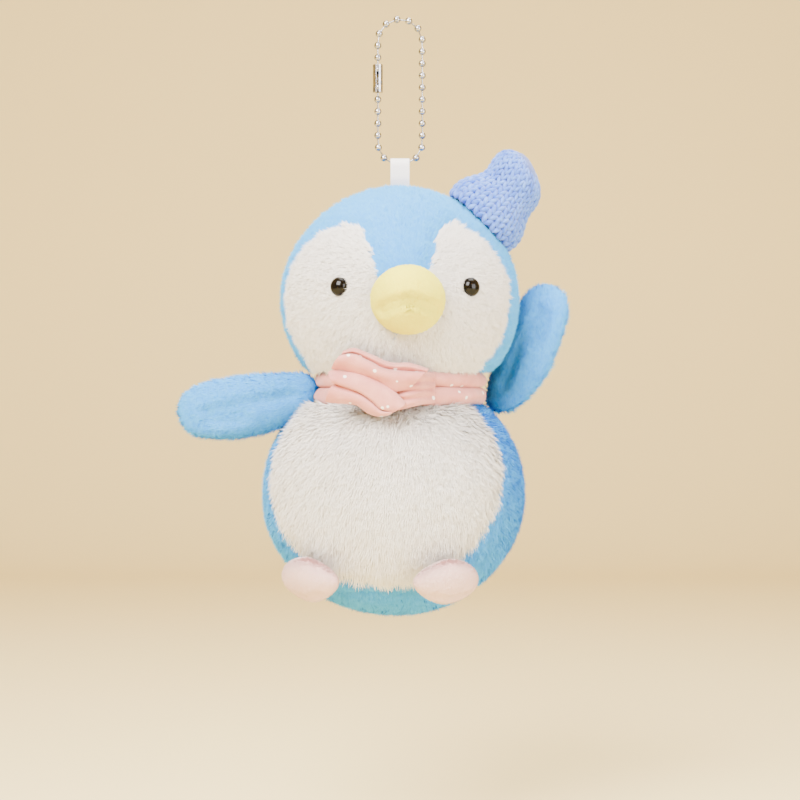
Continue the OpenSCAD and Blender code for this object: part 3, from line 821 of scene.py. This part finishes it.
def eye(name, node):
    low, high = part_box(node)
    side = 1 if low.x > 0 else -1
    out = (head_turn @ Vector((side * math.sin(EYE_BEARING), -math.cos(EYE_BEARING), EYE_RISE))).normalized()
    across = 20.6 if side > 0 else 21.5
    depth = HEAD_SEMI[1] * math.sqrt(1 - (across / HEAD_SEMI[0]) ** 2 - (EYE_HEIGHT / HEAD_SEMI[2]) ** 2)
    local = mm(side * across, -depth, EYE_HEIGHT)
    centre = head_mid + head_turn @ local - out * (EYE_SINK * MM)
    use_nothing()
    bpy.ops.mesh.primitive_uv_sphere_add(segments=48, ring_count=32, radius=1)
    piece = rename(bpy.context.object, name)
    piece.scale = (3.0 * MM, 3.1 * MM, 2.5 * MM)
    piece.rotation_euler = out.to_track_quat("Z", "Y").to_euler()
    piece.location = centre
    settle(piece)
    cut_away(piece, centre, -out)
    edit(piece, "DESELECT")
    bpy.ops.mesh.select_non_manifold()
    bpy.ops.mesh.edge_face_add()
    bpy.ops.mesh.extrude_region_move(TRANSFORM_OT_translate={"value": -out * (2.0 * MM)})
    bpy.ops.transform.resize(value=(0.4, 0.4, 0.4))
    end_edit()
    soften(paint(piece, eye_gloss), 40)
    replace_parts(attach(piece, "head"), node)


eye("left_eye_dome", "eye_left")
eye("right_eye_dome", "eye_right")

# %% [markdown]
# ## Metal
# The chain's beads are stamped from thin plated strip. The plating is bright, with faint rubbing and a
# slightly darker tone in places, so the roughness and colour wander a little.

# %% Nickel plate and washer plastic
nickel, tree, shader, place = start_material("nickel_plate")
mask = use_group(tree, patches, {"Position": place, "Size": 1.8 * MM, "Contrast": 2.2})
tree.links.new(two_tone(tree, mask.outputs[0], (132, 134, 140), (196, 196, 200)), shader.inputs["Base Color"])
rub = add_node(tree, "ShaderNodeMapRange", {"Value": mask.outputs[0], "To Min": 0.30, "To Max": 0.14})
tree.links.new(rub.outputs[0], shader.inputs["Roughness"])
height = use_group(tree, grain, {"Position": place, "Size": 0.25 * MM, "Stretch": (1, 1, 1)})
add_bump(tree, shader, height.outputs[0], 0.12, 0.1 * MM)
shader.inputs["Metallic"].default_value = 1.0

washer_plastic, tree, shader, place = start_material("washer_plastic")
height = use_group(tree, grain, {"Position": place, "Size": 0.6 * MM, "Stretch": (1, 1, 1)})
tree.links.new(two_tone(tree, height.outputs[0], (206, 206, 204), (230, 230, 228)), shader.inputs["Base Color"])
shader.inputs["Roughness"].default_value = 0.5

for name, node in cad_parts.items():
    if name.startswith("chain"):
        paint(node, nickel)
    if name.startswith("eye_washer"):
        paint(node, washer_plastic)

# %% [markdown]
# ## The ribbon
# A narrow satin ribbon is folded over the chain and sewn into the crown. It is one strip: a plane is
# extruded along the fold, and a solidify modifier gives it its thickness. Satin shines along its threads,
# so the bump is made of very fine lines across the strip.

# %% Satin ribbon
satin, tree, shader, place = start_material("satin")
lines = use_group(tree, grain, {"Position": place, "Size": 0.25 * MM, "Stretch": (4, 1, 0.3)})
tree.links.new(two_tone(tree, lines.outputs[0], (226, 224, 230), (250, 249, 252)), shader.inputs["Base Color"])
add_bump(tree, shader, lines.outputs[0], 0.35, 0.2 * MM)
set_shader(shader, {"Roughness": 0.38, "Sheen Weight": 0.3, "Anisotropic": 0.4})

ribbon_low, ribbon_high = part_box("ribbon_loop")
fold_z = ribbon_high.z - 1.75 * MM
root_z = ribbon_low.z - 0.5 * MM
fold = [(-0.15, root_z / MM), (-1.0, root_z / MM + 2.4), (-1.5, fold_z / MM - 1.0), (-1.45, fold_z / MM),
        (-1.05, fold_z / MM + 1.05), (0, fold_z / MM + 1.5)]
fold += [(-y, z) for y, z in reversed(fold[:-1])]
use_nothing()
bpy.ops.mesh.primitive_plane_add(size=1)
ribbon = rename(bpy.context.object, "satin_ribbon")
ribbon.scale = (6.3 * MM, 0.1 * MM, 1)
ribbon.rotation_euler = (math.pi / 2, 0, 0)
ribbon.location = mm(0, fold[0][0], fold[0][1])
settle(ribbon)
edit(ribbon, "DESELECT")
end_edit()
middle_z = sum(v.co.z for v in ribbon.data.vertices) / 4
for vertex in ribbon.data.vertices:
    vertex.select = vertex.co.z > middle_z
for (y0, z0), (y1, z1) in zip(fold, fold[1:]):
    bpy.ops.object.mode_set(mode="EDIT")
    bpy.ops.mesh.extrude_region_move(TRANSFORM_OT_translate={"value": mm(0, y1 - y0, z1 - z0)})
bpy.ops.mesh.select_all(action="SELECT")
bpy.ops.mesh.subdivide(number_cuts=2)
end_edit()
round_off = ribbon.modifiers.new("round", "SUBSURF")
round_off.levels = round_off.render_levels = 2
wall = ribbon.modifiers.new("weight", "SOLIDIFY")
wall.thickness, wall.offset = 0.35 * MM, 0
apply_all(ribbon)
soften(paint(ribbon, satin))
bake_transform(ribbon)
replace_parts(ribbon, "ribbon_loop")

# %% [markdown]
# ## The knitted hat
# Stocking stitch shows columns of small Vs. Each leg of a V is a short fat loop of yarn, so one leg is
# modelled and copied into place: round the hat in columns and up it in rows. The profile swells at the cuff,
# draws in at a waist and swells again, and a smooth lining just inside closes the holes between the legs. The
# lining is a darker copy of the yarn: painted shade in the gaps between the stitches.

# %% Yarn and the hat
def yarn_material(name, dark, light):
    material, tree, shader, place = start_material(name)
    mask = use_group(tree, patches, {"Position": place, "Size": 2.2 * MM, "Contrast": 2.4})
    fine = use_group(tree, grain, {"Position": place, "Size": 0.22 * MM, "Stretch": (1, 1, 1)})
    tone = add_node(tree, "ShaderNodeMix", data_type="RGBA", blend_type="SOFT_LIGHT")
    tone.inputs[0].default_value = 0.5
    tree.links.new(two_tone(tree, mask.outputs[0], dark, light), tone.inputs[6])
    tree.links.new(fine.outputs[0], tone.inputs[7])
    tree.links.new(tone.outputs[2], shader.inputs["Base Color"])
    add_bump(tree, shader, fine.outputs[0], 0.6, 0.3 * MM)
    set_shader(shader, {"Roughness": 0.9, "Sheen Weight": 0.4})
    return material


yarn = yarn_material("yarn", (44, 98, 208), (104, 152, 240))
# The lining's yarn is a darker copy of the hat's yarn: painted shade in the gaps between the stitches.
painted_shade_yarn = yarn_material("painted_shade_yarn", (30, 66, 160), (60, 104, 200))

HAT_TILT = math.radians(45)
HAT_SINK = 2.2
HAT_WAIST = 12.0
LINING_GAP, LINING_LIFT = 0.9, 0.6
hat_seat = 1 / math.hypot(math.sin(HAT_TILT) / HEAD_SEMI[0], math.cos(HAT_TILT) / HEAD_SEMI[2]) - HAT_SINK
hat_place = (Matrix.Translation(head_mid) @ Matrix.Rotation(HAT_TILT, 4, "Y")
             @ Matrix.Translation(mm(0, 0, hat_seat)))
hat_profile = [
    (12.9, 0.4), (13.4, 2.5), (13.4, 4.6), (12.9, 6.7), (11.9, 8.8), (10.7, 10.9), (9.8, 13.0), (9.5, 15.2),
    (9.7, 17.4), (9.6, 19.6), (8.9, 21.8), (7.4, 23.7), (5.2, 25.2), (2.8, 26.2)]
WALES = 22


def hat_lean(z):
    """How far the soft upper part of the hat leans over at a height."""
    lean = max(0.0, z - HAT_WAIST)
    return 0.020 * lean * lean


def hat_point(r, z, angle):
    """A point of the hat, which is a little out of round."""
    bulge = 1 + 0.05 * math.sin(2 * angle + 0.6) * min(1.0, z / 10)
    return mm(r * bulge * math.cos(angle) - hat_lean(z), r * bulge * math.sin(angle), z)


use_nothing()
bpy.ops.mesh.primitive_uv_sphere_add(segments=8, ring_count=6, radius=1)
leg = rename(bpy.context.object, "yarn_leg")
leg.scale = (0.235, 0.29, 0.68)
settle(leg)
legs = []
for row in range(len(hat_profile) - 1):
    (r0, z0), (r1, z1) = hat_profile[row], hat_profile[row + 1]
    for column in range(WALES):
        angle = 2 * math.pi * column / WALES
        for half in (-1, 1):
            step = 2 * math.pi / WALES * 0.25 * half
            low = hat_point(r0, z0, angle + step * 0.30)
            high = hat_point(r1, z1, angle + step * 1.65)
            middle = (low + high) / 2
            along = high - low
            wide = 2 * math.pi * max(1.6, (r0 + r1) / 2) / WALES * MM
            one = leg.copy()
            one.data = leg.data.copy()
            bpy.context.scene.collection.objects.link(one)
            out = Vector((middle.x, middle.y, 0)).normalized()
            x_way = out.cross(along).normalized()
            z_way = along.normalized()
            frame_turn = Matrix((x_way, z_way.cross(x_way), z_way)).transposed().to_4x4()
            one.matrix_world = hat_place @ Matrix.Translation(middle) @ frame_turn @ Matrix.Diagonal(
                (wide, wide * 1.05, along.length, 1))
            legs.append(one)
remove(leg)
hat = join(legs, "hat_stitches")
settle(hat)
soften(paint(hat, yarn))
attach(hat, "head")
print("hat triangles:", triangles(hat))

use_nothing()
bpy.ops.mesh.primitive_circle_add(vertices=WALES * 2, radius=(hat_profile[0][0] - LINING_GAP) * MM)
lining = rename(bpy.context.object, "hat_cloth")
edit(lining)
previous = hat_profile[0]
for r, z in hat_profile[1:]:
    ratio = (r - LINING_GAP) / (previous[0] - LINING_GAP)
    bpy.ops.mesh.extrude_region_move(TRANSFORM_OT_translate={"value": mm(0, 0, z - previous[1] - 0.02)})
    bpy.ops.transform.resize(value=(ratio, ratio, 1))
    previous = (r, z)
bpy.ops.mesh.edge_face_add()
end_edit()
for vertex in lining.data.vertices:
    vertex.co.x -= hat_lean(vertex.co.z / MM + LINING_LIFT) * MM
lining.matrix_world = hat_place @ Matrix.Translation(mm(0, 0, LINING_LIFT))
settle(lining)
# The darker yarn on the lining is painted shade behind the stitches.
back_with_cloth(paint(lining, painted_shade_yarn), 0.8)
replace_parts(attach(lining, "head"), "hat_knit", "hat_stuffing")

# %% [markdown]
# ## The scarf
# The scarf is a strip of thin cotton, folded lengthwise into soft rolls and tied loosely at the front. A
# sheet of cloth keeps its area, so each part of it is a grid laid along its own folds: the band round the
# neck, the gathered wrap at the knot, and the two ends. The area of each part is printed.

# %% Cotton with small white flecks
flecks, gin, gout = new_group("flecks", [("Position", "Vector"), ("Spacing", "Float")], [("Mask", "Float")])
scale = one_over(flecks, gin.outputs["Spacing"])
cells = add_node(flecks, "ShaderNodeTexVoronoi", {"Vector": gin.outputs["Position"], "Scale": scale})
near = add_node(flecks, "ShaderNodeMath", {0: cells.outputs["Distance"], 1: 0.14}, operation="LESS_THAN")
flecks.links.new(near.outputs[0], gout.inputs["Mask"])

cotton, tree, shader, place = start_material("cotton")
mask = use_group(tree, patches, {"Position": place, "Size": 5 * MM, "Contrast": 1.8})
weave = use_group(tree, grain, {"Position": place, "Size": 0.35 * MM, "Stretch": (1, 1, 2.2)})
threads = add_node(tree, "ShaderNodeMix", data_type="RGBA", blend_type="SOFT_LIGHT")
threads.inputs[0].default_value = 0.35
tree.links.new(two_tone(tree, mask.outputs[0], (200, 124, 118), (221, 152, 142)), threads.inputs[6])
tree.links.new(weave.outputs[0], threads.inputs[7])
print_mask = use_group(tree, flecks, {"Position": place, "Spacing": 4.6 * MM})
printed = add_node(tree, "ShaderNodeMix", data_type="RGBA")
tree.links.new(print_mask.outputs[0], printed.inputs[0])
tree.links.new(threads.outputs[2], printed.inputs[6])
printed.inputs[7].default_value = rgb(252, 246, 242)
tree.links.new(printed.outputs[2], shader.inputs["Base Color"])
add_bump(tree, shader, weave.outputs[0], 0.35, 0.3 * MM)
set_shader(shader, {"Roughness": 0.85, "Sheen Weight": 0.25})

# %% Lay a grid of cloth along its folds
wrinkles = bpy.data.textures.new("cloth_wrinkles", "CLOUDS")
wrinkles.noise_scale = 0.0055


def curve_through(points, t):
    """A smooth curve through the points, read at t from 0 to 1."""
    at = t * (len(points) - 1)
    k = min(int(at), len(points) - 2)
    f = at - k
    p = [Vector(points[max(0, min(len(points) - 1, k + d))]) for d in (-1, 0, 1, 2)]
    return 0.5 * ((2 * p[1]) + (p[2] - p[0]) * f + (2 * p[0] - 5 * p[1] + 4 * p[2] - p[3]) * f * f
                  + (3 * p[1] - p[0] - 3 * p[2] + p[3]) * f ** 3)


def lay_cloth(name, rows, across, along, wrinkle=0.6, thickness=0.45, closed=False):
    """rows are lines of points, one line for each fold, and the cloth is laid smoothly from line to line."""
    use_nothing()
    bpy.ops.mesh.primitive_grid_add(x_subdivisions=along, y_subdivisions=across, size=1)
    piece = rename(bpy.context.object, name)
    for vertex in piece.data.vertices:
        u, v = vertex.co.x + 0.5, vertex.co.y + 0.5
        vertex.co = NECK + curve_through([curve_through(row, u) for row in rows], v) * MM
    if closed:
        edit(piece)
        bpy.ops.mesh.remove_doubles(threshold=1e-6)
        end_edit()
    print(name, "area in mm2:", round(sum(face.area for face in piece.data.polygons) / MM ** 2))
    creased = piece.modifiers.new("wrinkles", "DISPLACE")
    creased.texture, creased.strength, creased.mid_level = wrinkles, wrinkle * MM, 0.5
    creased.texture_coords = "LOCAL"
    wall = piece.modifiers.new("cloth", "SOLIDIFY")
    wall.thickness, wall.offset = thickness * MM, 0
    smooth = piece.modifiers.new("smooth", "SUBSURF")
    smooth.levels = smooth.render_levels = 1
    apply_all(piece)
    return soften(paint(piece, cotton), 80)


def ring_row(radius, z, wobble=0.0, phase=0.0, steps=48):
    row = []
    for k in range(steps + 1):
        a = 2 * math.pi * (k % steps) / steps
        r = radius + wobble * math.sin(5 * a + phase)
        row.append((r * math.sin(a), -r * math.cos(a), z + 0.5 * wobble * math.sin(3 * a + phase)))
    return row


def fold_row(depth, *points):
    """One fold of a scarf end. It lies at one depth, and each point says how far across and up it is."""
    return [(x, depth, z) for x, z in points]


band = lay_cloth("scarf_band_cloth", [
    ring_row(20.4, 5.0), ring_row(23.6, 5.8, 0.2, 1), ring_row(26.8, 5.3, 0.3, 2), ring_row(28.4, 3.2, 0.4, 0),
    ring_row(27.8, 1.2, 0.3, 1.5), ring_row(25.8, 0.5, 0.3, 2.5), ring_row(27.7, -0.4, 0.3, 0.5),
    ring_row(28.8, -2.4, 0.4, 3), ring_row(27.6, -4.5, 0.3, 1), ring_row(24.4, -5.6, 0.2, 0), ring_row(20.6, -5.4)],
    30, 192, wrinkle=0.9, closed=True)
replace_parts(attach(band, "scarf"), "scarf_band")

# %% The gathered wrap at the knot, and the two ends
knot = lay_cloth("scarf_knot_cloth", [
    [(1.3, -33.4, 4.4), (3.8, -33.8, 4.8), (6.9, -32.6, 5), (11.2, -26.2, 4.7)],
    [(0.9, -34.4, 2.8), (3.4, -35.2, 3.1), (6.9, -33.8, 3.4), (11.2, -27.2, 3.1)],
    [(0.3, -33.2, 1.2), (3.1, -34, 1.5), (6.6, -32.6, 2), (11.2, -26.4, 1.9)],
    [(0, -34.4, -0), (2.8, -35.4, 0.3), (6.3, -33.8, 0.6), (11.2, -27, 0.6)],
    [(-0.3, -33, -1.3), (2.5, -33.8, -1), (6, -32.4, -0.5), (11.2, -26.2, -0.3)],
    [(-0.6, -34.2, -2.5), (2.2, -35.2, -2.2), (5.7, -33.6, -1.6), (11.2, -27, -1.3)],
    [(-0.9, -32.8, -3.8), (1.9, -33.8, -3.5), (5.4, -32.4, -2.9), (11.2, -26.2, -2.4)],
    [(-0.9, -33.8, -5.4), (1.9, -34.4, -5.1), (5.3, -33.2, -4.3), (11.2, -26.6, -3.6)],
    [(-0.6, -32, -7), (2.2, -32.6, -6.3), (5.7, -31.4, -5.4), (11.2, -25.4, -4.6)]],
    48, 24, wrinkle=0.5)
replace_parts(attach(knot, "scarf"), "scarf_knot")

upper_end = lay_cloth("scarf_end_upper", [
    fold_row(-34.6, (-17.9, 11.6), (-14.1, 12.4), (-8.8, 10.3), (-2.2, 7.8), (3.4, 7.6), (9.1, 5.9)),
    fold_row(-37, (-18.1, 10.9), (-14.4, 11.5), (-9.4, 9.6), (-3.4, 7), (2.8, 6.7), (8.7, 5.3)),
    fold_row(-35.2, (-18.5, 10.3), (-14.7, 10.8), (-10.3, 8.9), (-5, 6.2), (1.6, 5.4), (8.1, 4.8)),
    fold_row(-38.4, (-19.3, 9.6), (-14.9, 10.1), (-10.6, 8.2), (-5.6, 5.4), (0.9, 4.6), (7.8, 4.5)),
    fold_row(-38.2, (-20.6, 8), (-16.2, 8), (-11.2, 6.2), (-5.9, 3.5), (-0.3, 2.3), (5.9, 2.7)),
    fold_row(-35.2, (-21.6, 6.2), (-18.2, 5.6), (-13.5, 4.7), (-7.2, 2.2), (-2.2, -1), (3.4, 0.3))],
    40, 44, wrinkle=0.8)
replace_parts(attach(upper_end, "scarf_ends"), "scarf_tail_upper")

lower_end = lay_cloth("scarf_end_lower", [
    fold_row(-34.8, (-22.6, 4.7), (-20.7, 5.6), (-15.4, 5), (-10.7, 4), (-5.6, 1.8), (-1.9, -1), (1.6, -4.7)),
    fold_row(-37.9, (-22.1, 3.1), (-19.3, 3.4), (-14.7, 2.7), (-10, 1.5), (-5.6, -0.7),
             (-2.2, -3.2), (1.2, -5.7)),
    fold_row(-37.6, (-21.2, 1.8), (-17.8, 0.9), (-14.3, -0.2), (-10.9, -1.9), (-7.8, -4.1),
             (-5, -6.3), (-0.9, -6.9)),
    fold_row(-35.2, (-20.7, 1.2), (-17.9, 0.3), (-14.4, -0.8), (-11.3, -2.5), (-8.5, -4.7),
             (-6, -6.9), (-1.9, -7.4)),
    fold_row(-37, (-21.9, -0.1), (-18.4, -1.3), (-14.7, -2.2), (-11.2, -3.8), (-8.4, -5.7),
             (-5.9, -7.7), (-2.5, -7.5)),
    fold_row(-36.2, (-23.1, -2.5), (-18.8, -3.5), (-14.4, -4.1), (-10.6, -6.1), (-7.8, -7.6),
             (-5.3, -8.5), (-2.5, -7.7)),
    fold_row(-33.6, (-23.6, -4.4), (-18.5, -4.9), (-13.8, -5.4), (-10.1, -7.7), (-6.9, -8.8),
             (-4.1, -8.5), (-1.9, -7.3))],
    48, 44, wrinkle=0.8)
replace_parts(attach(lower_end, "scarf_ends"), "scarf_tail_lower")

# %% [markdown]
# ## The floor and the backdrop
# A curved sweep of warm pale paper stands behind the toy, so that there is no hard line where wall meets
# floor. It is a plane whose back edge is extruded upwards, with the corner rounded by a bevel.

# %% A paper sweep
paper, tree, shader, place = start_material("paper")
mask = use_group(tree, patches, {"Position": place, "Size": 0.3, "Contrast": 0.8})
tree.links.new(two_tone(tree, mask.outputs[0], (254, 233, 168), (255, 236, 176)), shader.inputs["Base Color"])
shader.inputs["Roughness"].default_value = 0.9
use_nothing()
bpy.ops.mesh.primitive_plane_add(size=1)
sweep = rename(bpy.context.object, "paper_sweep")
sweep.scale = (4, 3, 1)
sweep.location = (0, -0.3, -0.275)
settle(sweep)
for vertex in sweep.data.vertices:
    vertex.select = vertex.co.y > 0
bpy.ops.object.mode_set(mode="EDIT")
bpy.ops.mesh.select_mode(type="EDGE")
bpy.ops.mesh.extrude_region_move(TRANSFORM_OT_translate={"value": (0, 0, 2.4)})
bpy.ops.mesh.select_all(action="DESELECT")
end_edit()
for edge in sweep.data.edges:
    ends = [sweep.data.vertices[i].co for i in edge.vertices]
    edge.select = all(e.y > 0.3 and e.z < -0.2 for e in ends)
bpy.ops.object.mode_set(mode="EDIT")
bpy.ops.mesh.bevel(offset=0.3, segments=16, affect="EDGES")
end_edit()
soften(paint(sweep, paper), 80)
sweep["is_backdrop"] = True

# %% [markdown]
# ## Tidy up and measure
# The tufts were only patterns, so they are removed. The last lines print the number of triangles in the
# visible model.

# %% Finish
for piece in (short_tuft, long_tuft, velvet_tuft):
    remove(piece)
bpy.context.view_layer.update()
total = sum(triangles(piece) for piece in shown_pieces() if piece.type == "MESH")
print("object triangles:", total)
